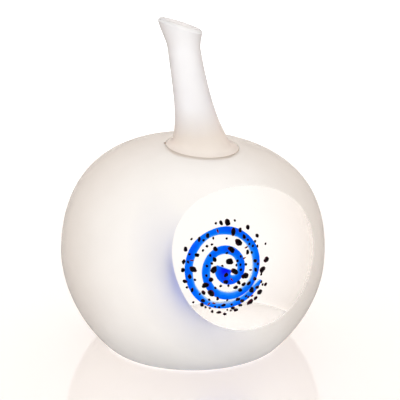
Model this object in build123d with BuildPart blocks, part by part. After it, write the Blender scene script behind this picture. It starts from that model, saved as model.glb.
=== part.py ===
"""Cased art glass apple: blue trail and frit under clear glass, polished window, bonded stem.

Millimetres, +Z up. The origin is the middle of the ground base. +X is to the right and -Y is
towards the viewer of the front.
"""

import math
import os
from random import Random

from build123d import *

os.makedirs("parts", exist_ok=True)

# Turned form of the apple, along and out from its own axis, which leans to the right
LEAN = 3.9
AXIS_OFFSET = -2.75
BELLY_RADIUS = 56.0
BELLY_HEIGHT = 38.8
CROWN_RISE = 48.0
CROWN_SPREAD = 29.5
SHOULDER_FULLNESS = 39.1
FLANK_FULLNESS = 22.8
BOTTOM_RADIUS = 25.9
BOTTOM_SPREAD = 10.3
GROUND_OFF = 6.7
BASE_ARRIS = 0.8

# Polished window ground into the front
WINDOW_TURN = 28.0
WINDOW_TILT = 17.0
WINDOW_DEPTH = 10.23
WINDOW_ARRIS = 0.35

# Inner gather, the blue trail wound on it in half turns and marvered flush, and the thin second
# gather that beds the frit
CORE_RADIUS = 29.0
CORE_HEIGHT = 40.0
GATHER_THICKNESS = 2.8
PATTERN_TURN = 27.5
PATTERN_TILT = -1.5
PATTERN_SPIN = 150.0
TRAIL_RADIUS = 2.0
TRAIL_TURNS = (4.2, 8.4, 13.0, 17.5, 20.5)
DROP_RADIUS = 4.6

# Crushed glass rolled on before the second gather, by grade: length, width, thickness
COARSE_FRIT = (4.4, 2.8, 1.7)
MEDIUM_FRIT = (2.8, 1.8, 1.2)
FINE_FRIT = (1.7, 1.2, 0.8)
RED_FRIT = (2.3, 0.9, 0.7)
COARSE_CHIPS = 16
MEDIUM_CHIPS = 44
FINE_CHIPS = 52
RED_CHIPS = 9
FRIT_EDGE = 0.3
FRIT_SCATTER = 3.2
FRIT_SPREAD = 25.0
FRIT_LIFT = 0.3
FRIT_CLEARANCE = 0.2

# Stem with its flared foot let into a ground seat, and the adhesive under it and round its rim
SEAT_SHIFT = 0.85
SEAT_GAP = 0.3
SEAT_DROP = 4.0
BOND_THICKNESS = 0.3
BOND_RISE = 1.2
FOOT_RADIUS = 15.2
FOOT_RIM = 2.6
FOOT_ROUND = 0.5
FOOT_LIP = 2.2
LIP_FLARE = 0.7
FOOT_FLARE = 11.8
STEM_HEIGHT = 51.9
STEM_LEAN = 14.76
STEM_BEND = 1.45
STEM_WAIST = 6.54
STEM_TAPER = 0.57
STEM_STATIONS = 20
TIP_RADIUS = 9.54
TIP_FLARE = 13.9
TIP_SLANT = 14.5
TIP_BACK = 8.0
TIP_ROUND = 1.4


def facing(turn, tilt):
    """Outward direction: turned from -Y towards +X, then tilted up."""
    turn = math.radians(turn)
    tilt = math.radians(tilt)
    return Vector(math.cos(tilt) * math.sin(turn), -math.cos(tilt) * math.cos(turn), math.sin(tilt))


def across(turn):
    """Level direction to the right of a facing direction."""
    return Vector(math.cos(math.radians(turn)), math.sin(math.radians(turn)), 0)


lean = math.radians(LEAN)
apple_up = Vector(math.sin(lean), 0, math.cos(lean))
apple = Plane((AXIS_OFFSET, 0, 0), x_dir=(math.cos(lean), 0, -math.sin(lean)), z_dir=apple_up)
profile_plane = Plane(apple.origin, x_dir=apple.x_dir, z_dir=-apple.y_dir)
apple_axis = Axis(apple.origin, apple.z_dir)
crown_height = BELLY_HEIGHT + CROWN_RISE
core_centre = apple.offset(CORE_HEIGHT).origin
seat = apple.offset(crown_height - SEAT_DROP).shift_origin(
    apple.from_local_coords(Vector(SEAT_SHIFT, 0, crown_height - SEAT_DROP))
)
foot = seat.offset(BOND_THICKNESS)
pattern = Plane(core_centre, x_dir=across(PATTERN_TURN), z_dir=facing(PATTERN_TURN, PATTERN_TILT))
window_out = facing(WINDOW_TURN, WINDOW_TILT)
window_middle = core_centre + window_out * (BELLY_RADIUS - WINDOW_DEPTH)
window = Plane(window_middle, x_dir=across(WINDOW_TURN), z_dir=window_out)


def on_core(u, v, height=0.0):
    """Point over the core where a flat layout wraps round it; circles of the layout stay circles."""
    polar = 2 * math.atan2(math.hypot(u, v), 2 * CORE_RADIUS)
    spin = math.atan2(v, u) + math.radians(PATTERN_SPIN)
    out = CORE_RADIUS + height
    level = out * math.sin(polar)
    return pattern.from_local_coords(
        Vector(level * math.cos(spin), level * math.sin(spin), out * math.cos(polar))
    )


# Half turns of the trail on the flat layout, each with its middle and its signed radius
half_turns = []
middle = 0.0
reach = TRAIL_TURNS[0]
for radius in TRAIL_TURNS:
    side = -1 if len(half_turns) % 2 else 1
    middle -= side * (radius - abs(reach))
    reach = side * radius
    half_turns.append((middle, reach))

# Blue trail: half turns that meet without a kink, wrapped on the core, with a drop at the start
with BuildPart() as blue_trail:
    with BuildLine() as route:
        for middle, reach in half_turns:
            ThreePointArc(on_core(middle + reach, 0), on_core(middle, reach), on_core(middle - reach, 0))
    with BuildSketch(Plane(route.line @ 0, z_dir=route.line % 0)):
        Circle(TRAIL_RADIUS)
    sweep()
    with Locations(route.line @ 1):
        Sphere(TRAIL_RADIUS)
    with Locations(route.line @ 0):
        Sphere(DROP_RADIUS)
    with Locations(core_centre):
        Sphere(CORE_RADIUS, mode=Mode.INTERSECT)
blue_trail.part.label = "blue_trail"

with BuildPart() as core_gather:
    with Locations(core_centre):
        Sphere(CORE_RADIUS)
    add(blue_trail.part, mode=Mode.SUBTRACT)
core_gather.part.label = "core_gather"


def chip(length, width, thickness):
    """One crushed-glass chip: an uneven six-sided pebble with its edges worn off."""
    corners = []
    for corner in range(6):
        angle = math.radians(60 * corner + 14 * math.sin(2.4 * corner))
        share = 0.44 - 0.06 * math.cos(1.9 * corner)
        corners.append((length * share * math.cos(angle), width * share * math.sin(angle)))
    with BuildPart() as pebble:
        with BuildSketch():
            Polygon(*corners, align=None)
        extrude(amount=thickness / 2, both=True)
        chamfer(pebble.edges().filter_by(Plane.XY), FRIT_EDGE * thickness)
    return pebble.part


# Frit is strewn along the trail and over it, no chip touching another
rng = Random(11)
strewn = []


def strew(count, length, width, thickness):
    """Places for one grade of frit, clear of all the chips already strewn."""
    places = []
    for _ in range(400 * count):
        if len(places) == count:
            break
        middle, reach = rng.choices(half_turns, TRAIL_TURNS)[0]
        around = rng.uniform(0, math.pi)
        u = middle + reach * math.cos(around) + rng.gauss(0, FRIT_SCATTER)
        v = reach * math.sin(around) + rng.gauss(0, FRIT_SCATTER)
        spin = rng.uniform(0, 2 * math.pi)
        if math.hypot(u, v) > FRIT_SPREAD:
            continue
        point = on_core(u, v, FRIT_LIFT + thickness / 2)
        normal = (point - core_centre).normalized()
        level = normal.cross(Vector(math.cos(spin), 0, math.sin(spin))).normalized()
        spots = [point + level * (end * (length - width) / 2) for end in (-1, 0, 1)]
        room = width / 2 + FRIT_CLEARANCE
        if all((spot - other).length > room + taken for spot in spots for other, taken in strewn):
            strewn.extend((spot, width / 2) for spot in spots)
            places.append(Plane(point, x_dir=level, z_dir=normal))
    return places


with BuildPart() as coarse_frit:
    with Locations(*strew(COARSE_CHIPS, *COARSE_FRIT)):
        add(chip(*COARSE_FRIT))
coarse_frit.part.label = "coarse_frit"

with BuildPart() as medium_frit:
    with Locations(*strew(MEDIUM_CHIPS, *MEDIUM_FRIT)):
        add(chip(*MEDIUM_FRIT))
medium_frit.part.label = "medium_frit"

with BuildPart() as red_frit:
    with Locations(*strew(RED_CHIPS, *RED_FRIT)):
        add(chip(*RED_FRIT))
red_frit.part.label = "red_frit"

with BuildPart() as fine_frit:
    with Locations(*strew(FINE_CHIPS, *FINE_FRIT)):
        add(chip(*FINE_FRIT))
fine_frit.part.label = "fine_frit"

# Second gather: a thin layer over the core that closes round every chip
with BuildPart() as second_gather:
    with Locations(core_centre):
        Sphere(CORE_RADIUS + GATHER_THICKNESS)
        Sphere(CORE_RADIUS, mode=Mode.SUBTRACT)
    add((coarse_frit.part, medium_frit.part, red_frit.part, fine_frit.part), mode=Mode.SUBTRACT)
second_gather.part.label = "second_gather"

# Outer casing: turned apple, ground level below, ground and polished at the window
with BuildPart() as outer_casing:
    with BuildSketch(profile_plane):
        with BuildLine():
            flank = Bezier(
                (BOTTOM_RADIUS, -GROUND_OFF),
                (BOTTOM_RADIUS + BOTTOM_SPREAD, -GROUND_OFF),
                (BELLY_RADIUS, BELLY_HEIGHT - FLANK_FULLNESS),
                (BELLY_RADIUS, BELLY_HEIGHT),
            )
            crown = Bezier(
                flank @ 1,
                (BELLY_RADIUS, BELLY_HEIGHT + SHOULDER_FULLNESS),
                (CROWN_SPREAD, crown_height),
                (0, crown_height),
            )
            Polyline(crown @ 1, (0, -GROUND_OFF), flank @ 0)
        make_face()
    revolve(axis=apple_axis)
    split(bisect_by=Plane.XY, keep=Keep.TOP)
    split(bisect_by=window, keep=Keep.BOTTOM)
    chamfer(outer_casing.faces().sort_by(Axis.Z)[0].edges(), BASE_ARRIS)
    window_face = outer_casing.faces().sort_by(Axis(window.origin, window.z_dir))[-1]
    chamfer(window_face.edges(), WINDOW_ARRIS)
    with BuildSketch(seat):
        Circle(FOOT_RADIUS + SEAT_GAP)
    extrude(amount=SEAT_DROP, mode=Mode.SUBTRACT)
    with Locations(core_centre):
        Sphere(CORE_RADIUS + GATHER_THICKNESS, mode=Mode.SUBTRACT)
outer_casing.part.label = "outer_casing"

# Adhesive: a film under the stem's foot, pressed out a little way up the gap round it
with BuildPart() as stem_bond:
    with BuildSketch(seat):
        Circle(FOOT_RADIUS + SEAT_GAP)
    extrude(amount=BOND_THICKNESS)
    with BuildSketch(foot):
        Circle(FOOT_RADIUS + SEAT_GAP)
        Circle(FOOT_RADIUS, mode=Mode.SUBTRACT)
    extrude(amount=BOND_RISE)
stem_bond.part.label = "stem_bond"


def stem_radius(height):
    """Radius of the pulled stem above its foot: thin lip, flared foot, slow taper, flared tip."""
    lip_part = FOOT_LIP * math.exp(-height / LIP_FLARE)
    foot_part = (FOOT_RADIUS - FOOT_LIP - STEM_WAIST - STEM_TAPER) * math.exp(-height / FOOT_FLARE)
    taper_part = STEM_TAPER * (1 - height / STEM_HEIGHT)
    rise = min(1.0, max(0.0, 1 + (height - STEM_HEIGHT - TIP_FLARE / 5) / TIP_FLARE))
    tip_part = (TIP_RADIUS - STEM_WAIST) * rise * rise * (3 - 2 * rise)
    return STEM_WAIST + lip_part + foot_part + taper_part + tip_part


def stem_shift(height):
    """Sideways place of the stem's middle: it leans to the left and straightens at the tip."""
    return STEM_BEND * (height / STEM_HEIGHT) ** 4 - height * math.tan(math.radians(STEM_LEAN))


# Stem: flared foot, leaning shaft, tip sheared at a slant and fire-polished
with BuildPart() as stem:
    with BuildSketch(foot):
        Circle(FOOT_RADIUS)
    extrude(amount=FOOT_RIM)
    shaft = foot.offset(FOOT_RIM)
    for station in range(STEM_STATIONS + 1):
        height = (STEM_HEIGHT + TIP_RADIUS) * (station / STEM_STATIONS) ** 1.9
        with BuildSketch(shaft.offset(height)):
            with Locations((stem_shift(height), 0)):
                Circle(stem_radius(height))
    loft()
    rims = stem.edges().filter_by(GeomType.CIRCLE).sort_by(Axis(foot.origin, foot.z_dir))
    fillet(rims[1], FOOT_ROUND)
    tip_middle = shaft.from_local_coords(Vector(stem_shift(STEM_HEIGHT), 0, STEM_HEIGHT))
    tip_normal = Vector(0, 0, 1).rotate(Axis.X, -TIP_BACK).rotate(Axis.Y, TIP_SLANT)
    tip_end = shaft.from_local_coords(tip_normal) - shaft.origin
    split(bisect_by=Plane(tip_middle, z_dir=tip_end), keep=Keep.BOTTOM)
    fillet(stem.faces().sort_by(Axis.Z)[-1].edges(), TIP_ROUND)
stem.part.label = "stem"

frit = (coarse_frit, medium_frit, fine_frit, red_frit)
for piece in (outer_casing, second_gather, core_gather, blue_trail, *frit, stem_bond, stem):
    export_step(piece.part, f"parts/{piece.part.label}.step")
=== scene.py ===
import math
import random

import bmesh
import bpy
from mathutils import Matrix, Vector, noise


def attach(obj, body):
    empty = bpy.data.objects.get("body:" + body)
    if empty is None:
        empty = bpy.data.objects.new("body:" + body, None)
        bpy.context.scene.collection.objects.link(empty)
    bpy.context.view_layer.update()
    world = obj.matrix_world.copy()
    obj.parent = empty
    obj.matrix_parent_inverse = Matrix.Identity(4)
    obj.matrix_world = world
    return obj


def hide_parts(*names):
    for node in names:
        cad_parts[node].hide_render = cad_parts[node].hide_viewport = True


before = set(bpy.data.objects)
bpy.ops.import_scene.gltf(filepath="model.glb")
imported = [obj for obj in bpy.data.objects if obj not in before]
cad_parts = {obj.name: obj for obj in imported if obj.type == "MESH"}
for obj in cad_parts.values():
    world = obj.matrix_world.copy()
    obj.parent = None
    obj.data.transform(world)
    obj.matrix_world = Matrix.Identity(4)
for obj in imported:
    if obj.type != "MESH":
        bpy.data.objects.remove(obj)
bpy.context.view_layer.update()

# Sizes of the CAD solids, in millimetres and radians
MM = 0.001
LEAN = math.radians(3.9)
AXIS_OFFSET = -2.75
BELLY_RADIUS = 56.0
BELLY_HEIGHT = 38.8
CROWN_HEIGHT = BELLY_HEIGHT + 48.0
CROWN_SPREAD = 29.5
SHOULDER_FULLNESS = 39.1
FLANK_FULLNESS = 22.8
BOTTOM_RADIUS = 25.9
BOTTOM_SPREAD = 10.3
GROUND_OFF = 6.7
WINDOW_TURN = math.radians(28.0)
WINDOW_TILT = math.radians(17.0)
WINDOW_DEPTH = 10.23
CORE_RADIUS = 29.0
CORE_HEIGHT = 40.0
PATTERN_TURN = math.radians(27.5)
PATTERN_TILT = math.radians(-1.5)
PATTERN_SPIN = math.radians(150.0)
TRAIL_RADIUS = 2.0
TRAIL_TURNS = (4.2, 8.4, 13.0, 17.5, 20.5)
DROP_RADIUS = 4.6
SEAT_SHIFT = 0.85
SEAT_HEIGHT = CROWN_HEIGHT - 4.0
BOND_THICKNESS = 0.3
BOND_RISE = 1.2
FOOT_RADIUS = 15.2
SEAT_RADIUS = FOOT_RADIUS + 0.3
FOOT_RIM = 2.6
FOOT_LIP = 2.2
LIP_FLARE = 0.7
FOOT_FLARE = 11.8
STEM_HEIGHT = 51.9
STEM_LEAN = math.tan(math.radians(14.76))
STEM_BEND = 1.45
STEM_WAIST = 6.54
STEM_TAPER = 0.57
TIP_RADIUS = 9.54
TIP_FLARE = 13.9
TIP_SLANT = math.radians(14.5)
TIP_BACK = math.radians(8.0)
TIP_ROUND = 1.4
CLEAR = 0.02

# Arrises of the window and the base, as depth and inset in millimetres
WINDOW_ARRIS = (0.1, 0.33)
BASE_ARRIS = (0.55, 1.4)

# What the solids don't have: a trim that keeps the tip in the CAD's box, and the nick in the seat's rim
TIP_TRIM = 0.08
NICK_DEPTH = 0.7
NICK_HALF = math.radians(2.6)

# Points of a cut that lie nearer than this are merged
MERGE = 0.002

apple = Matrix.Translation((AXIS_OFFSET * MM, 0, 0)) @ Matrix.Rotation(LEAN, 4, "Y")


def facing(turn, tilt):
    """Outward direction: turned from -Y towards +X, then tilted up."""
    return Vector((math.cos(tilt) * math.sin(turn), -math.cos(tilt) * math.cos(turn), math.sin(tilt)))


core_centre = apple @ Vector((0, 0, CORE_HEIGHT * MM))
window_out = facing(WINDOW_TURN, WINDOW_TILT)
window_middle = core_centre + window_out * (BELLY_RADIUS - WINDOW_DEPTH) * MM


def bezier(a, b, c, d, count):
    """Points of a cubic curve in the profile plane, from a towards d, without d."""
    points = []
    for i in range(count):
        t = i / count
        w = ((1 - t) ** 3, 3 * t * (1 - t) ** 2, 3 * t * t * (1 - t), t**3)
        points.append(tuple(sum(k * x for k, x in zip(w, xs)) for xs in zip(a, b, c, d)))
    return points


# Mesh helpers


def piece(name, bm, materials, nodes):
    """Makes a mesh object of bm that rides on the apple and stands for CAD nodes."""
    mesh = bpy.data.meshes.new(name)
    bm.to_mesh(mesh)
    bm.free()
    for material in materials:
        mesh.materials.append(material)
    obj = bpy.data.objects.new(name, mesh)
    bpy.context.scene.collection.objects.link(obj)
    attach(obj, "root")
    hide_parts(*nodes)
    return obj


def circle(r, z, shift=0.0, segments=96):
    """Level ring of points in millimetres."""
    angles = [2 * math.pi * k / segments for k in range(segments)]
    return [Vector((shift + r * math.cos(a), r * math.sin(a), z)) for a in angles]


def skinned(bm, rings, place, first=0, last=0, index=0):
    """Closed skin over rings of points, given from the bottom to the top.

    The bands from ring first to ring last, and an end cap there, get the material index.
    """
    rows = [[bm.verts.new(place @ (p * MM)) for p in ring] for ring in rings]
    for band, (low, high) in enumerate(zip(rows, rows[1:])):
        for k in range(len(low)):
            n = (k + 1) % len(low)
            f = bm.faces.new((low[k], low[n], high[n], high[k]))
            f.material_index = index if first <= band < last else 0
    for row, bottom in ((rows[0], True), (rows[-1], False)):
        middle = bm.verts.new(sum((v.co for v in row), Vector()) / len(row))
        for k in range(len(row)):
            n = (k + 1) % len(row)
            f = bm.faces.new((row[n], row[k], middle) if bottom else (row[k], row[n], middle))
            if (bottom and first == 0 and last) or (not bottom and last == len(rows)):
                f.material_index = index


def walk(edges):
    """Vertices of one closed loop of edges, in order."""
    neighbours = {}
    for e in edges:
        for v in e.verts:
            neighbours.setdefault(v, []).append(e.other_vert(v))
    first = min(neighbours, key=lambda v: tuple(v.co))
    loop = [first, neighbours[first][0]]
    while True:
        step = [v for v in neighbours[loop[-1]] if v is not loop[-2]][0]
        if step is first:
            return loop
        loop.append(step)


def ground_flat(bm, point, normal, depth, inset, segments, flat=0, edge=0):
    """Cuts off everything beyond a plane, and closes the cut with a worked edge and a flat face.

    One segment makes a bevelled edge and more make a round one.
    """
    geometry = bm.verts[:] + bm.edges[:] + bm.faces[:]
    level = point - normal * depth * MM
    made = bmesh.ops.bisect_plane(
        bm,
        geom=geometry,
        plane_co=level,
        plane_no=normal,
        clear_outer=True,
        dist=1e-7,
    )
    rim = [g for g in made["geom_cut"] if isinstance(g, bmesh.types.BMVert)]
    bmesh.ops.remove_doubles(bm, verts=rim, dist=MERGE * MM)
    loop = walk([e for e in bm.edges if e.is_boundary])
    middle = sum((v.co for v in loop), Vector()) / len(loop)
    turn = sum(((a.co - middle).cross(b.co - middle) for a, b in zip(loop, loop[1:])), Vector())
    if turn.dot(normal) < 0:
        loop.reverse()
    last = loop
    for s in range(1, segments + 1):
        angle = math.pi / 2 * s / segments
        rise = depth * math.sin(angle)
        back = inset * (1 - math.cos(angle))
        row = []
        for v in loop:
            outward = (v.co - middle).normalized()
            row.append(bm.verts.new(v.co + normal * rise * MM - outward * back * MM))
        for k in range(len(row)):
            n = (k + 1) % len(row)
            f = bm.faces.new((last[k], last[n], row[n], row[k]))
            f.material_index = edge
        last = row
    f = bm.faces.new(last)
    f.material_index = flat


def shade(bm, angle, crisp=-1):
    """Smooth shading, but sharp at corners and round the faces of the crisp material."""
    bmesh.ops.recalc_face_normals(bm, faces=bm.faces[:])
    for f in bm.faces:
        f.smooth = True
    for e in bm.edges:
        if len(e.link_faces) == 2:
            a, b = e.link_faces
            rim = (a.material_index == crisp) != (b.material_index == crisp)
            e.smooth = not rim and e.calc_face_angle(0) < math.radians(angle)


# Materials


class Look:
    """A node material with short calls for the nodes used here."""

    def __init__(self, name):
        self.material = bpy.data.materials.new(name)
        self.material.use_nodes = True
        self.nodes = self.material.node_tree.nodes
        self.links = self.material.node_tree.links
        self.shader = self.nodes["Principled BSDF"]
        self.place = self.nodes.new("ShaderNodeTexCoord").outputs["Object"]

    def set(self, **values):
        """Constants on the shader's own sockets."""
        for name, value in values.items():
            self.shader.inputs[name.replace("_", " ")].default_value = value

    def noise(self, scale, detail=3.0):
        """Noise in object space, with scale in cells a metre."""
        n = self.nodes.new("ShaderNodeTexNoise")
        n.inputs["Scale"].default_value = scale
        n.inputs["Detail"].default_value = detail
        self.links.new(self.place, n.inputs["Vector"])
        return n.outputs["Fac"]

    def spread(self, fac, low, high, a=0.3, b=0.7):
        """A value that goes from low to high while fac goes from a to b."""
        n = self.nodes.new("ShaderNodeMapRange")
        n.inputs["From Min"].default_value = a
        n.inputs["From Max"].default_value = b
        n.inputs["To Min"].default_value = low
        n.inputs["To Max"].default_value = high
        self.links.new(fac, n.inputs["Value"])
        return n.outputs["Result"]

    def ramp(self, fac, *stops):
        """A colour from stops of position and colour."""
        n = self.nodes.new("ShaderNodeValToRGB")
        marks = n.color_ramp.elements
        while len(marks) < len(stops):
            marks.new(0.5)
        for mark, (at, colour) in zip(marks, stops):
            mark.position = at
            mark.color = (*colour, 1)
        self.links.new(fac, n.inputs["Fac"])
        return n.outputs["Color"]

    def mix(self, fac, a, b, kind="MIX"):
        """Colour a blended into b by fac, or fully if fac is None."""
        n = self.nodes.new("ShaderNodeMix")
        n.data_type = "RGBA"
        n.blend_type = kind
        n.inputs["Factor"].default_value = 1.0
        for socket, value in ((n.inputs["Factor"], fac), (n.inputs[6], a), (n.inputs[7], b)):
            if isinstance(value, tuple):
                socket.default_value = (*value, 1)
            elif value is not None:
                self.links.new(value, socket)
        return n.outputs[2]

    def bump(self, height, strength, distance):
        """Relief on the shader's normal."""
        n = self.nodes.new("ShaderNodeBump")
        n.inputs["Strength"].default_value = strength
        n.inputs["Distance"].default_value = distance
        self.links.new(height, n.inputs["Height"])
        self.links.new(n.outputs["Normal"], self.shader.inputs["Normal"])

    def vector(self, operation, a, b=None):
        """Vector maths on a socket, with a constant where two operands are needed."""
        n = self.nodes.new("ShaderNodeVectorMath")
        n.operation = operation
        self.links.new(a, n.inputs[0])
        if b:
            n.inputs[1].default_value = b
        return n

    def sum(self, a, b):
        """Two values added."""
        n = self.nodes.new("ShaderNodeMath")
        self.links.new(a, n.inputs[0])
        self.links.new(b, n.inputs[1])
        return n.outputs[0]

    def attribute(self, name):
        """A value that the mesh carries on its points."""
        n = self.nodes.new("ShaderNodeAttribute")
        n.attribute_name = name
        return n.outputs["Fac"]

    def feed(self, name, socket):
        """Links a socket to one of the shader's."""
        self.links.new(socket, self.shader.inputs[name])


WHITE = (1.0, 1.0, 1.0)
INSIDE_CLEAR = (0.99, 0.985, 0.98)
INSIDE_SPAN = (0.1, 0.45)
GLASS_INDEX = 1.5

# The halo, painted bluish shade and light of the trail, lies to the left of the window and a little below,
# as seen from the front (metres)
HALO_ANGLE = math.radians(206)
HALO_REACH = (0.031, 0.048)
HALO_SWEEP = (0.012, 0.03)
window_right = Vector((math.cos(WINDOW_TURN), math.sin(WINDOW_TURN), 0))
window_up = window_out.cross(window_right)
HALO_SIDE = window_right * math.cos(HALO_ANGLE) + window_up * math.sin(HALO_ANGLE)


def etched(name, rough, cloudy, clear, edge, span, low, level, ior=GLASS_INDEX, far=INSIDE_CLEAR, halo=None):
    """Acid-etched glass: satin, a little cloudy, with the fine grain of the acid.

    It is tinted towards edge where it is seen edge on, which is painted shade, and towards low below a
    level, darker towards the bottom.
    From inside it is nearly clear, and tinted towards far where it is seen edge on, which is painted shade.
    A halo is painted bluish shade and blue light that the trail casts through the skin beside the window.
    """
    look = Look(name)
    look.set(Transmission_Weight=1.0, IOR=ior)
    face = look.ramp(look.noise(38, 4), (0.3, cloudy), (0.7, clear))
    slope = look.nodes.new("ShaderNodeLayerWeight")
    slope.inputs["Blend"].default_value = 0.5
    turned = look.spread(slope.outputs["Facing"], 0.0, 1.0, *span)
    height = look.nodes.new("ShaderNodeSeparateXYZ")
    look.links.new(look.place, height.inputs[0])
    below = look.spread(height.outputs["Z"], 1.0, 0.0, *level)
    # Painted shade where the glass is seen edge on
    tint = look.mix(turned, face, look.mix(None, face, edge, "MULTIPLY"))
    # Darker towards the bottom
    tint = look.mix(below, tint, look.mix(None, tint, low, "MULTIPLY"))
    # Painted bluish shade and blue light of the trail, beside the window
    if halo:
        away = look.vector("SUBTRACT", look.place, window_middle).outputs[0]
        near = look.spread(look.vector("LENGTH", away).outputs["Value"], 1.0, 0.0, *HALO_REACH)
        beside = look.vector("DOT_PRODUCT", away, HALO_SIDE).outputs["Value"]
        painted_halo_tint = look.mix(look.spread(beside, 0.0, 1.0, *HALO_SWEEP), WHITE, halo)
        tint = look.mix(near, tint, look.mix(None, tint, painted_halo_tint, "MULTIPLY"))
    inside = look.nodes.new("ShaderNodeNewGeometry").outputs["Backfacing"]
    slant = look.spread(slope.outputs["Facing"], 0.0, 1.0, *INSIDE_SPAN)
    # From inside, painted shade where the skin is seen edge on
    look.feed("Base Color", look.mix(inside, tint, look.mix(slant, INSIDE_CLEAR, far)))
    look.feed("Roughness", look.spread(look.noise(160, 4), rough - 0.04, rough + 0.04))
    look.bump(look.noise(2600, 2), 0.08, 0.0002)
    return look.material


# The body's skin has a lower index than glass. At 1.5 a false line shows in the window,
# along the contour where the back of the skin reflects totally.
# The tints edge, low and far are painted shade: at the rim seen edge on, at the bottom, and from inside
# where the window looks at the skin edge on. The halo is painted bluish shade and light of the trail.
skin = etched(
    "etched_glass",
    0.8,
    cloudy=(0.66, 0.618, 0.568),
    clear=(0.702, 0.658, 0.61),
    edge=(0.78, 0.765, 0.76),
    span=(0.3, 0.8),
    low=(0.82, 0.845, 0.88),
    level=(0.0, 0.045),
    ior=1.25,
    far=(0.86, 0.8, 0.75),
    halo=(0.6, 0.62, 0.77),
)
# edge is painted shade where the stem is seen edge on; low makes it warmer and darker towards the foot
stem_skin = etched(
    "etched_stem_glass",
    0.62,
    cloudy=(0.725, 0.695, 0.695),
    clear=(0.775, 0.75, 0.745),
    edge=(0.66, 0.57, 0.53),
    span=(0.08, 0.85),
    low=(0.87, 0.785, 0.675),
    level=(0.092, 0.104),
)
# edge is painted shade round the cut seen edge on
cut_skin = etched(
    "etched_cut_glass",
    0.62,
    cloudy=(0.73, 0.7, 0.695),
    clear=(0.78, 0.755, 0.745),
    edge=(0.86, 0.8, 0.77),
    span=(0.4, 0.95),
    low=(0.98, 0.97, 0.96),
    level=(0.13, 0.14),
)

# The window
look = Look("polished_glass")
look.set(Transmission_Weight=1.0, IOR=GLASS_INDEX, Base_Color=(0.8, 0.73, 0.67, 1))
look.feed("Roughness", look.spread(look.noise(90, 2), 0.0, 0.012))
polished = look.material

# The face that the apple stands on
look = Look("ground_base")
look.set(Transmission_Weight=1.0, IOR=GLASS_INDEX)
look.feed("Base Color", look.ramp(look.noise(60, 4), (0.3, (0.97, 0.96, 0.95)), (0.7, INSIDE_CLEAR)))
look.feed("Roughness", look.spread(look.noise(700, 3), 0.8, 0.9))
look.bump(look.noise(1500, 3), 0.15, 0.0002)
ground_base = look.material

# Glass wetted by the adhesive, which hardly shows
look = Look("bonded_glass")
look.feed("Base Color", look.ramp(look.noise(300, 3), (0.3, (0.9, 0.87, 0.82)), (0.7, (0.96, 0.94, 0.91))))
look.feed("Alpha", look.spread(look.noise(240, 3), 0.0, 0.01))
bonded = look.material

# Front of the trail: pale at its thin edges and deep where it is thick, with a painted glow: emission that
# stands in for the light coming through it from behind
look = Look("blue_glass")
streak = look.spread(look.noise(170, 4), -0.14, 0.14)
tone = look.ramp(
    look.sum(look.attribute("thickness"), streak),
    (0.0, (0.4, 0.62, 0.95)),
    (0.2, (0.05, 0.38, 1.0)),
    (0.5, (0.0, 0.22, 1.0)),
    (0.75, (0.002, 0.11, 1.0)),
    (1.0, (0.006, 0.014, 0.95)),
)
through = look.nodes.new("ShaderNodeBsdfTranslucent")
blend = look.nodes.new("ShaderNodeMixShader")
blend.inputs[0].default_value = 0.75
# The emission strength is the painted glow
look.set(Specular_IOR_Level=0.0, Emission_Strength=1.05)
look.feed("Base Color", tone)
look.feed("Emission Color", tone)
look.feed("Roughness", look.spread(look.noise(400), 0.3, 0.5))
look.links.new(tone, through.inputs["Color"])
look.links.new(look.shader.outputs[0], blend.inputs[1])
look.links.new(through.outputs[0], blend.inputs[2])
look.links.new(blend.outputs[0], look.nodes["Material Output"].inputs["Surface"])
blue = look.material

# Back of the trail, which lets the light in
look = Look("blue_back")
look.set(Transmission_Weight=1.0, IOR=1.0, Roughness=0.0)
look.feed("Base Color", look.ramp(look.noise(170, 3), (0.3, (0.55, 0.75, 1.0)), (0.7, (0.7, 0.85, 1.0))))
blue_back = look.material


def colour_chip(name, heart, flesh, rim):
    """Chip of dense colour glass: near opaque at heart, with light coming through its thin rim."""
    look = Look(name)
    look.set(Specular_IOR_Level=0.05)
    thinness = look.sum(look.attribute("rim"), look.spread(look.noise(520, 3), -0.22, 0.16))
    look.feed("Base Color", look.ramp(thinness, (0.45, heart), (0.8, flesh), (1.0, rim)))
    look.feed("Roughness", look.spread(look.noise(900), 0.3, 0.6))
    return look.material


dark = colour_chip("dark_glass", (0.003, 0.001, 0.004), (0.012, 0.003, 0.008), (0.11, 0.018, 0.03))
red = colour_chip("red_glass", (0.16, 0.012, 0.008), (0.33, 0.04, 0.025), (0.55, 0.14, 0.07))

# Clear adhesive, which hardly shows
look = Look("adhesive")
look.feed("Base Color", look.ramp(look.noise(160, 3), (0.3, (0.86, 0.8, 0.7)), (0.7, (0.95, 0.92, 0.87))))
look.feed("Alpha", look.spread(look.noise(200, 3), 0.0, 0.015))
adhesive = look.material

# Adhesive that has gone from cream to brown
look = Look("aged_adhesive")
browning = look.ramp(
    look.sum(look.attribute("age"), look.spread(look.noise(500, 3), -0.3, 0.15)),
    (0.0, (0.85, 0.76, 0.66)),
    (0.5, (0.5, 0.34, 0.22)),
    (1.0, (0.2, 0.1, 0.05)),
)
look.feed("Base Color", browning)
look.feed("Roughness", look.spread(look.noise(900), 0.45, 0.65))
aged = look.material

# Body: one piece of clear glass with an etched skin and a polished window
SEGMENTS = 208
BODY_POLISHED, BODY_BONDED, BODY_BASE = 1, 2, 3
SEAT_MARGIN = 1.6
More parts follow.
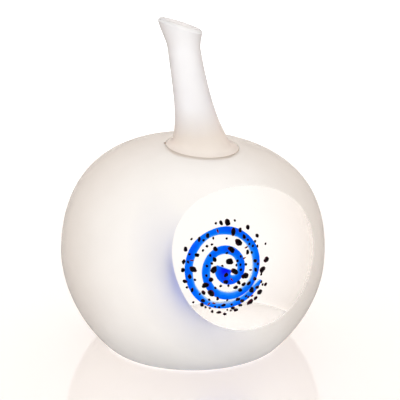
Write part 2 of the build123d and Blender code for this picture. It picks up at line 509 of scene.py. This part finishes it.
# Rings of the seat's rim: how far outside the seat and below the crown, and share of the shift and nick
SEAT_RIM = ((1.5, 0, 0.6), (0.7, 0, 1.0), (0.12, 0, 1.0), (0.03, 0.03, 1.0), (0.0, 0.12, 1.0))
flank = bezier(
    (BOTTOM_RADIUS, -GROUND_OFF),
    (BOTTOM_RADIUS + BOTTOM_SPREAD, -GROUND_OFF),
    (BELLY_RADIUS, BELLY_HEIGHT - FLANK_FULLNESS),
    (BELLY_RADIUS, BELLY_HEIGHT),
    60,
)
crown = bezier(
    (BELLY_RADIUS, BELLY_HEIGHT),
    (BELLY_RADIUS, BELLY_HEIGHT + SHOULDER_FULLNESS),
    (CROWN_SPREAD, CROWN_HEIGHT),
    (0, CROWN_HEIGHT),
    110,
)


def dome_height(r):
    """Height of the crown at a distance from the apple's axis."""
    for (r0, z0), (r1, z1) in zip(crown, crown[1:]):
        if r0 >= r >= r1:
            return z0 + (z1 - z0) * (r0 - r) / (r0 - r1)
    return crown[-1][1]


def nick(angle):
    """How far a small chip at the left of the seat's rim goes outward."""
    return NICK_DEPTH * math.exp(-((math.remainder(angle - math.pi, 2 * math.pi) / NICK_HALF) ** 2))


def seat_ring(r, drop, share):
    """Ring round the stem's seat that lies on the crown, or a little below it."""
    ring = []
    for k in range(SEGMENTS):
        a = 2 * math.pi * k / SEGMENTS
        x = SEAT_SHIFT * share + (r + share * nick(a)) * math.cos(a)
        y = (r + share * nick(a)) * math.sin(a)
        ring.append(Vector((x, y, dome_height(math.hypot(x, y)) - drop)))
    return ring


rings = [circle(r, z, 0, SEGMENTS) for r, z in flank]
rings += [circle(r, z, 0, SEGMENTS) for r, z in crown[::2] if r > SEAT_RADIUS + SEAT_SHIFT + SEAT_MARGIN]
rings += [seat_ring(SEAT_RADIUS + out, drop, share) for out, drop, share in SEAT_RIM]
bonded_from = len(rings)
floor_level = SEAT_HEIGHT - CLEAR
rings += [circle(SEAT_RADIUS + CLEAR, SEAT_HEIGHT + BOND_THICKNESS + BOND_RISE, SEAT_SHIFT, SEGMENTS)]
rings += [circle(SEAT_RADIUS + CLEAR, floor_level, SEAT_SHIFT, SEGMENTS)]
rings += [circle(SEAT_RADIUS / 2, floor_level, SEAT_SHIFT, SEGMENTS)]
bm = bmesh.new()
skinned(bm, rings, apple, bonded_from, len(rings), BODY_BONDED)
ground_flat(bm, Vector((0, 0, 0)), Vector((0, 0, -1)), *BASE_ARRIS, 1, flat=BODY_BASE, edge=BODY_BASE)
ground_flat(bm, window_middle, window_out, *WINDOW_ARRIS, 1, flat=BODY_POLISHED)
shade(bm, 30, crisp=BODY_POLISHED)
piece(
    "glass_body",
    bm,
    (skin, polished, bonded, ground_base),
    ("outer_casing", "second_gather", "core_gather"),
)


# Stem: flared where it stands and where it was cut
STEM_BONDED, STEM_CUT = 1, 2
STEM_RINGS = 120
STEM_SPACING = 1.6
FIRST_RING = 0.24
# Rounding of the foot's rim: how far inside the rim, and how far above its height
FOOT_ROUNDING = ((0.0, -0.2), (0.05, -0.06), (0.2, 0.01))


def stem_radius(height):
    """Radius of the stem at a height over the foot's rim."""
    lip_part = FOOT_LIP * math.exp(-height / LIP_FLARE)
    foot_part = (FOOT_RADIUS - FOOT_LIP - STEM_WAIST - STEM_TAPER) * math.exp(-height / FOOT_FLARE)
    taper_part = STEM_TAPER * (1 - height / STEM_HEIGHT)
    rise = min(1.0, max(0.0, 1 + (height - STEM_HEIGHT - TIP_FLARE / 5) / TIP_FLARE))
    tip_part = (TIP_RADIUS - STEM_WAIST) * rise * rise * (3 - 2 * rise)
    return STEM_WAIST + lip_part + foot_part + taper_part + tip_part


def stem_shift(height):
    """How far the stem has leaned aside at a height over the foot's rim."""
    return STEM_BEND * (height / STEM_HEIGHT) ** 4 - height * STEM_LEAN


foot = apple @ Matrix.Translation((SEAT_SHIFT * MM, 0, (SEAT_HEIGHT + BOND_THICKNESS) * MM))
rim = FOOT_RADIUS - CLEAR
rings = [circle(rim / 2, CLEAR), circle(rim, CLEAR), circle(rim, BOND_RISE)]
bonded_to = len(rings) - 1
rings += [circle(rim - back, FOOT_RIM + rise) for back, rise in FOOT_ROUNDING]
for i in range(STEM_RINGS):
    height = (STEM_HEIGHT + TIP_RADIUS) * (i / STEM_RINGS) ** STEM_SPACING
    if height > FIRST_RING:
        rings.append(circle(stem_radius(height), FOOT_RIM + height, stem_shift(height)))
bm = bmesh.new()
skinned(bm, rings, foot, 0, bonded_to, STEM_BONDED)
tip_middle = foot @ Vector((stem_shift(STEM_HEIGHT) * MM, 0, (FOOT_RIM + STEM_HEIGHT) * MM))
tip_turn = Matrix.Rotation(LEAN + TIP_SLANT, 3, "Y") @ Matrix.Rotation(-TIP_BACK, 3, "X")
tip_out = tip_turn @ Vector((0, 0, 1))
tip_middle -= tip_out * TIP_TRIM * MM
ground_flat(bm, tip_middle, tip_out, TIP_ROUND, TIP_ROUND, 7, flat=STEM_CUT, edge=STEM_CUT)
shade(bm, 50)
piece("stem_shaft", bm, (stem_skin, bonded, cut_skin), ("stem",))

# Colour inside the glass
pattern_out = facing(PATTERN_TURN, PATTERN_TILT)
pattern_right = Vector((math.cos(PATTERN_TURN), math.sin(PATTERN_TURN), 0))
pattern_up = pattern_out.cross(pattern_right)
pattern = Matrix((pattern_right, pattern_up, pattern_out)).transposed()
pattern = pattern @ Matrix.Rotation(PATTERN_SPIN, 3, "Z")


def on_core(u, v, height=0.0):
    """Point over the core where a flat layout wraps round it."""
    polar = 2 * math.atan2(math.hypot(u, v), 2 * CORE_RADIUS)
    spin = math.atan2(v, u)
    out = CORE_RADIUS + height
    level = out * math.sin(polar)
    point = Vector((level * math.cos(spin), level * math.sin(spin), out * math.cos(polar)))
    return core_centre + pattern @ point * MM


# Trail: a hand-wound thread that swells and thins, with the drop where it starts
AROUND = 24
WANDER_RATE = 0.045
TRAIL_SWAY = 0.35
TRAIL_UNEVEN = 0.22
DROP_SWELL = DROP_RADIUS - TRAIL_RADIUS
DROP_LENGTH = 5.2
TRAIL_BACK = 1
END_TONE = 0.4
route = []
side, middle, last = 1, 0.0, TRAIL_TURNS[0]
for radius in TRAIL_TURNS:
    middle -= side * (radius - last)
    steps = int(6 + radius * 4)
    for i in range(steps):
        a = math.pi * i / steps
        route.append((middle + side * radius * math.cos(a), side * radius * math.sin(a)))
    last = radius
    side = -side
route.append((middle + side * last, 0.0))
rows = []
tones = []
travelled = 0.0
for i, (u, v) in enumerate(route):
    u0, v0 = route[max(0, i - 1)]
    u1, v1 = route[min(len(route) - 1, i + 1)]
    travelled += math.hypot(u - u0, v - v0)
    wander = Vector((travelled * WANDER_RATE, 3.7, 1.3))
    size = math.hypot(u1 - u0, v1 - v0)
    across = ((v0 - v1) / size, (u1 - u0) / size)
    sway = TRAIL_SWAY * noise.noise(wander + Vector((0, 9, 0)))
    swell = DROP_SWELL * math.exp(-((travelled / DROP_LENGTH) ** 2))
    half = TRAIL_RADIUS * (0.98 + TRAIL_UNEVEN * noise.noise(wander * 2.0)) + swell
    # Both ends are rounded off
    ends = min(1.0, (travelled + 2.6) / 3.2, 0.25 + (len(route) - 1 - i) / 9)
    half *= math.sqrt(max(0.05, ends))
    # The thread is flattened, and lies just below the core's surface
    thick = min(half, TRAIL_RADIUS) * 0.92
    strength = 0.55 + 0.1 * half / TRAIL_RADIUS + 0.3 * swell / DROP_SWELL
    row = []
    for k in range(AROUND):
        a = 2 * math.pi * k / AROUND
        w = half * math.cos(a) + sway
        row.append(on_core(u + across[0] * w, v + across[1] * w, thick * (math.sin(a) * 0.9 - 1.0)))
        tones.append(abs(math.sin(a)) * strength)
    rows.append(row)
bm = bmesh.new()
skinned(bm, [[p / MM for p in row] for row in rows], Matrix.Identity(4))
bmesh.ops.recalc_face_normals(bm, faces=bm.faces[:])
for f in bm.faces:
    inward = f.normal.dot(f.calc_center_median() - core_centre) < 0
    f.material_index = TRAIL_BACK if inward else 0
shade(bm, 180)
trail = piece("wound_trail", bm, (blue, blue_back), ("blue_trail",))
thickness = trail.data.attributes.new("thickness", "FLOAT", "POINT")
thickness.data.foreach_set("value", tones + [END_TONE, END_TONE])

# Frit: every chip of the CAD node becomes a fire-rounded pebble in its own place
CHIP_LUMPS = (0.25, 0.6)
CHIP_SLIMNESS = (0.72, 1.0)
CHIP_LIMIT = 1.12


def islands(obj):
    """The separate chips of a node, as lists of points."""
    bm = bmesh.new()
    bm.from_mesh(obj.data)
    bmesh.ops.remove_doubles(bm, verts=bm.verts[:], dist=1e-6)
    seen = set()
    found = []
    for start in bm.verts:
        if start in seen:
            continue
        stack = [start]
        seen.add(start)
        points = []
        while stack:
            v = stack.pop()
            points.append(obj.matrix_world @ v.co)
            for e in v.link_edges:
                other = e.other_vert(v)
                if other not in seen:
                    seen.add(other)
                    stack.append(other)
        found.append(points)
    bm.free()
    found.sort(key=lambda points: tuple(round(c, 6) for c in sum(points, Vector()) / len(points)))
    return found


def pebbles(name, node, material, subdivisions, seed):
    """A piece with one lumpy pebble for each chip, along the chip's own axes."""
    rng = random.Random(seed)
    bm = bmesh.new()
    rim = bm.verts.layers.float.new("rim")
    for points in islands(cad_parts[node]):
        middle = sum(points, Vector()) / len(points)
        out = (middle - core_centre).normalized()
        right = out.orthogonal().normalized()
        ahead = out.cross(right)
        flat = [((p - middle).dot(right), (p - middle).dot(ahead)) for p in points]
        xx, yy, xy = (sum(a[i] * a[j] for a in flat) for i, j in ((0, 0), (1, 1), (0, 1)))
        turn = 0.5 * math.atan2(2 * xy, xx - yy)
        along = right * math.cos(turn) + ahead * math.sin(turn)
        beside = out.cross(along)
        half = [max(abs((p - middle).dot(axis)) for p in points) for axis in (along, beside, out)]
        made = bmesh.ops.create_icosphere(bm, subdivisions=subdivisions, radius=1.0)
        phase = Vector([rng.uniform(0, 40) for _ in range(3)])
        lump = rng.uniform(*CHIP_LUMPS)
        slim = rng.uniform(*CHIP_SLIMNESS)
        for v in made["verts"]:
            d = v.co.copy()
            swell = 1 + lump * noise.noise(d * 0.9 + phase) + 0.1 * noise.noise(d * 2.6 + phase)
            v[rim] = math.hypot(d.x, d.y)
            d *= min(CHIP_LIMIT, swell)
            v.co = middle + along * d.x * half[0] + beside * d.y * half[1] * slim + out * d.z * half[2]
    shade(bm, 180)
    piece(name, bm, (material,), (node,))


pebbles("coarse_chips", "coarse_frit", dark, 3, 3)
pebbles("medium_chips", "medium_frit", dark, 3, 5)
pebbles("fine_chips", "fine_frit", dark, 2, 7)
pebbles("red_chips", "red_frit", red, 2, 9)

# Bond: the film under the foot, and the bead that was squeezed up into the gap round it
AGED_SECTOR = math.radians(-38)
AGED_HALF = math.radians(36)
SPOT_HALF = math.radians(4)
AGED_DEPTH = 0.75
AGED_LEAST = 0.05
BEAD_SINK = 0.07
BEAD_UNEVEN = 0.04
BEAD_TOP = 2
BEAD_AGED, BEAD_SKIN = 1, 2
bm = bmesh.new()
age = bm.verts.layers.float.new("age")
top = BOND_THICKNESS - CLEAR / 2
inner, outer = FOOT_RADIUS + CLEAR / 2, SEAT_RADIUS - CLEAR / 2
columns = []
for k in range(SEGMENTS):
    a = 2 * math.pi * k / SEGMENTS
    c, n = math.cos(a), math.sin(a)
    sector = math.exp(-((math.remainder(a - AGED_SECTOR, 2 * math.pi) / AGED_HALF) ** 4))
    spot = math.exp(-((math.remainder(a - math.pi, 2 * math.pi) / SPOT_HALF) ** 2))
    brim = dome_height(math.hypot(SEAT_SHIFT + outer * c, outer * n)) - SEAT_HEIGHT
    high = brim - BEAD_SINK + BEAD_UNEVEN * noise.noise(Vector((c * 6, n * 6, 2.5)))
    outline = ((inner / 2, top), (inner, top), (inner, high), (outer + nick(a), high))
    outline += ((outer, BOND_THICKNESS + BOND_RISE), (outer, CLEAR / 2), (inner / 2, CLEAR / 2))
    column = []
    for r, z in outline:
        point = Vector((SEAT_SHIFT + r * c, r * n, SEAT_HEIGHT + z))
        v = bm.verts.new(apple @ (point * MM))
        v[age] = max(AGED_DEPTH * sector, spot)
        column.append(v)
    columns.append(column)
for k, here in enumerate(columns):
    there = columns[(k + 1) % SEGMENTS]
    for j in range(len(here) - 1):
        f = bm.faces.new((here[j], there[j], there[j + 1], here[j + 1]))
        if j == BEAD_TOP:
            f.material_index = BEAD_AGED if here[0][age] > AGED_LEAST else BEAD_SKIN
bm.faces.new([column[0] for column in columns])
bm.faces.new([column[-1] for column in columns])
shade(bm, 40)
piece("glue_bead", bm, (adhesive, aged, skin), ("stem_bond",))

# Set: a white table that shines a little, and a white room darker towards the viewer
TABLE_HALF = 3.0
TABLE_LEVEL = -0.0002
# Warmer near the apple: a painted warm reflection and shade on the table
TABLE_WARM = (1.0, 0.82, 0.7)
# The table's light: as seen near the apple and far from it, then through the glass beside and under the
# base. Less of it near the apple is painted shade round the apple; more under the base, seen only through
# the glass, is a painted pool of light.
TABLE_SHOWN, TABLE_FAR, TABLE_LIFT, TABLE_GLOW = 0.34, 0.8, 0.47, 1.1
FAR_REACH = (0.14, 0.4)
BASE_REACH = (0.034, 0.046)
mesh = bpy.data.meshes.new("floor")
corners = [(x * TABLE_HALF, y * TABLE_HALF, TABLE_LEVEL) for x, y in ((-1, -1), (1, -1), (1, 1), (-1, 1))]
mesh.from_pydata(corners, [], [(0, 1, 2, 3)])
floor = bpy.data.objects.new("floor", mesh)
bpy.context.scene.collection.objects.link(floor)
look = Look("white_table")
table_tone = look.ramp(look.noise(12, 2), (0.3, (0.94, 0.928, 0.925)), (0.7, (0.95, 0.942, 0.94)))
look.feed("Base Color", table_tone)
look.set(IOR=1.9)
look.feed("Roughness", look.spread(look.noise(40, 2), 0.07, 0.1))
rays = look.nodes.new("ShaderNodeLightPath")
seen = look.nodes.new("ShaderNodeMath")
seen.operation = "MAXIMUM"
look.links.new(rays.outputs["Is Camera Ray"], seen.inputs[0])
look.links.new(rays.outputs["Is Glossy Ray"], seen.inputs[1])
away = look.vector("LENGTH", look.place).outputs["Value"]
lift = look.nodes.new("ShaderNodeMath")
lift.operation = "MULTIPLY"
look.links.new(seen.outputs[0], lift.inputs[0])
look.links.new(look.spread(away, TABLE_SHOWN, TABLE_FAR, *FAR_REACH), lift.inputs[1])
glow = look.nodes.new("ShaderNodeMix")
look.links.new(rays.outputs["Is Transmission Ray"], glow.inputs[0])
look.links.new(lift.outputs[0], glow.inputs[2])
look.links.new(look.spread(away, TABLE_GLOW, TABLE_LIFT, *BASE_REACH), glow.inputs[3])
# Painted warm reflection and shade near the apple, not seen through the glass
warmth = look.mix(look.spread(away, 0.0, 1.0, *FAR_REACH), TABLE_WARM, WHITE)
look.feed("Emission Color", look.mix(rays.outputs["Is Transmission Ray"], warmth, WHITE))
look.feed("Emission Strength", glow.outputs[0])
mesh.materials.append(look.material)

world = bpy.data.worlds.new("studio")
bpy.context.scene.world = world
world.use_nodes = True
nodes, links = world.node_tree.nodes, world.node_tree.links
background = nodes["Background"]


def node(kind, *operands, **named):
    """A world node with sockets or constants on its inputs, by place or by name."""
    n = nodes.new(kind)
    given = [(n.inputs[i], value) for i, value in enumerate(operands)]
    given += [(n.inputs[name.replace("_", " ")], value) for name, value in named.items()]
    for socket, value in given:
        if hasattr(value, "is_output"):
            links.new(value, socket)
        else:
            socket.default_value = value
    return n


def eased(value, a, b, low, high):
    """A value that goes smoothly from low to high while another goes from a to b."""
    n = node("ShaderNodeMapRange", Value=value, From_Min=a, From_Max=b, To_Min=low, To_Max=high)
    n.interpolation_type = "SMOOTHSTEP"
    return n.outputs["Result"]


def combined(operation, a, b):
    """Maths on two values."""
    n = node("ShaderNodeMath", a, b)
    n.operation = operation
    return n.outputs[0]


def towards_way(direction):
    """Cosine of the angle between a ray and a direction."""
    n = node("ShaderNodeVectorMath", way, direction)
    n.operation = "DOT_PRODUCT"
    return n.outputs["Value"]


# The room is bright behind and overhead, and a dark card keeps the window from mirroring it
FRONT, BACK, TOP = 0.4, 1.16, 0.4
NEAR, FAR = -0.5, 0.7
TOP_FROM, TOP_TO = 0.4, 0.95
BACK_WAY = (-0.1, 0.995, 0.0)
CARD_WAY = (0.803, -0.573, 0.165)
CARD_INNER = math.cos(math.radians(9))
CARD_OUTER = math.cos(math.radians(18))
CARD_SHARE = 0.03
BACKDROP = 1.1
way = node("ShaderNodeTexCoord").outputs["Generated"]
height = node("ShaderNodeSeparateXYZ", way).outputs["Z"]
room = eased(towards_way(BACK_WAY), NEAR, FAR, FRONT, BACK)
room = combined("MAXIMUM", room, eased(height, TOP_FROM, TOP_TO, 0.0, TOP))
room = combined("MULTIPLY", room, eased(towards_way(CARD_WAY), CARD_OUTER, CARD_INNER, 1.0, CARD_SHARE))
shown = combined("MULTIPLY", node("ShaderNodeLightPath").outputs["Is Camera Ray"], BACKDROP)
links.new(combined("MAXIMUM", room, shown), background.inputs["Strength"])
background.inputs["Color"].default_value = (*WHITE, 1)

# Camera: sizes in millimetres, with the picture's middle given from the point aimed at
AIM_HEIGHT = 50.4
CAMERA_DISTANCE = 784
CAMERA_RISE = math.radians(21)
MIDDLE_RIGHT = 5.76
MIDDLE_UP = 10.2
LENS = 166.5
SENSOR = 36
aim = Vector((AXIS_OFFSET, 0, AIM_HEIGHT)) * MM
towards = Vector((0, -math.cos(CAMERA_RISE), math.sin(CAMERA_RISE)))
up = Vector((0, math.sin(CAMERA_RISE), math.cos(CAMERA_RISE)))
eye = aim + towards * CAMERA_DISTANCE * MM
target = aim + Vector((1, 0, 0)) * MIDDLE_RIGHT * MM + up * MIDDLE_UP * MM
data = bpy.data.cameras.new("camera")
data.lens = LENS
data.sensor_width = SENSOR
camera = bpy.data.objects.new("camera", data)
bpy.context.scene.collection.objects.link(camera)
camera.location = eye
camera.rotation_euler = (target - eye).to_track_quat("-Z", "Y").to_euler()
bpy.context.scene.camera = camera
bpy.context.scene.view_settings.view_transform = "Standard"
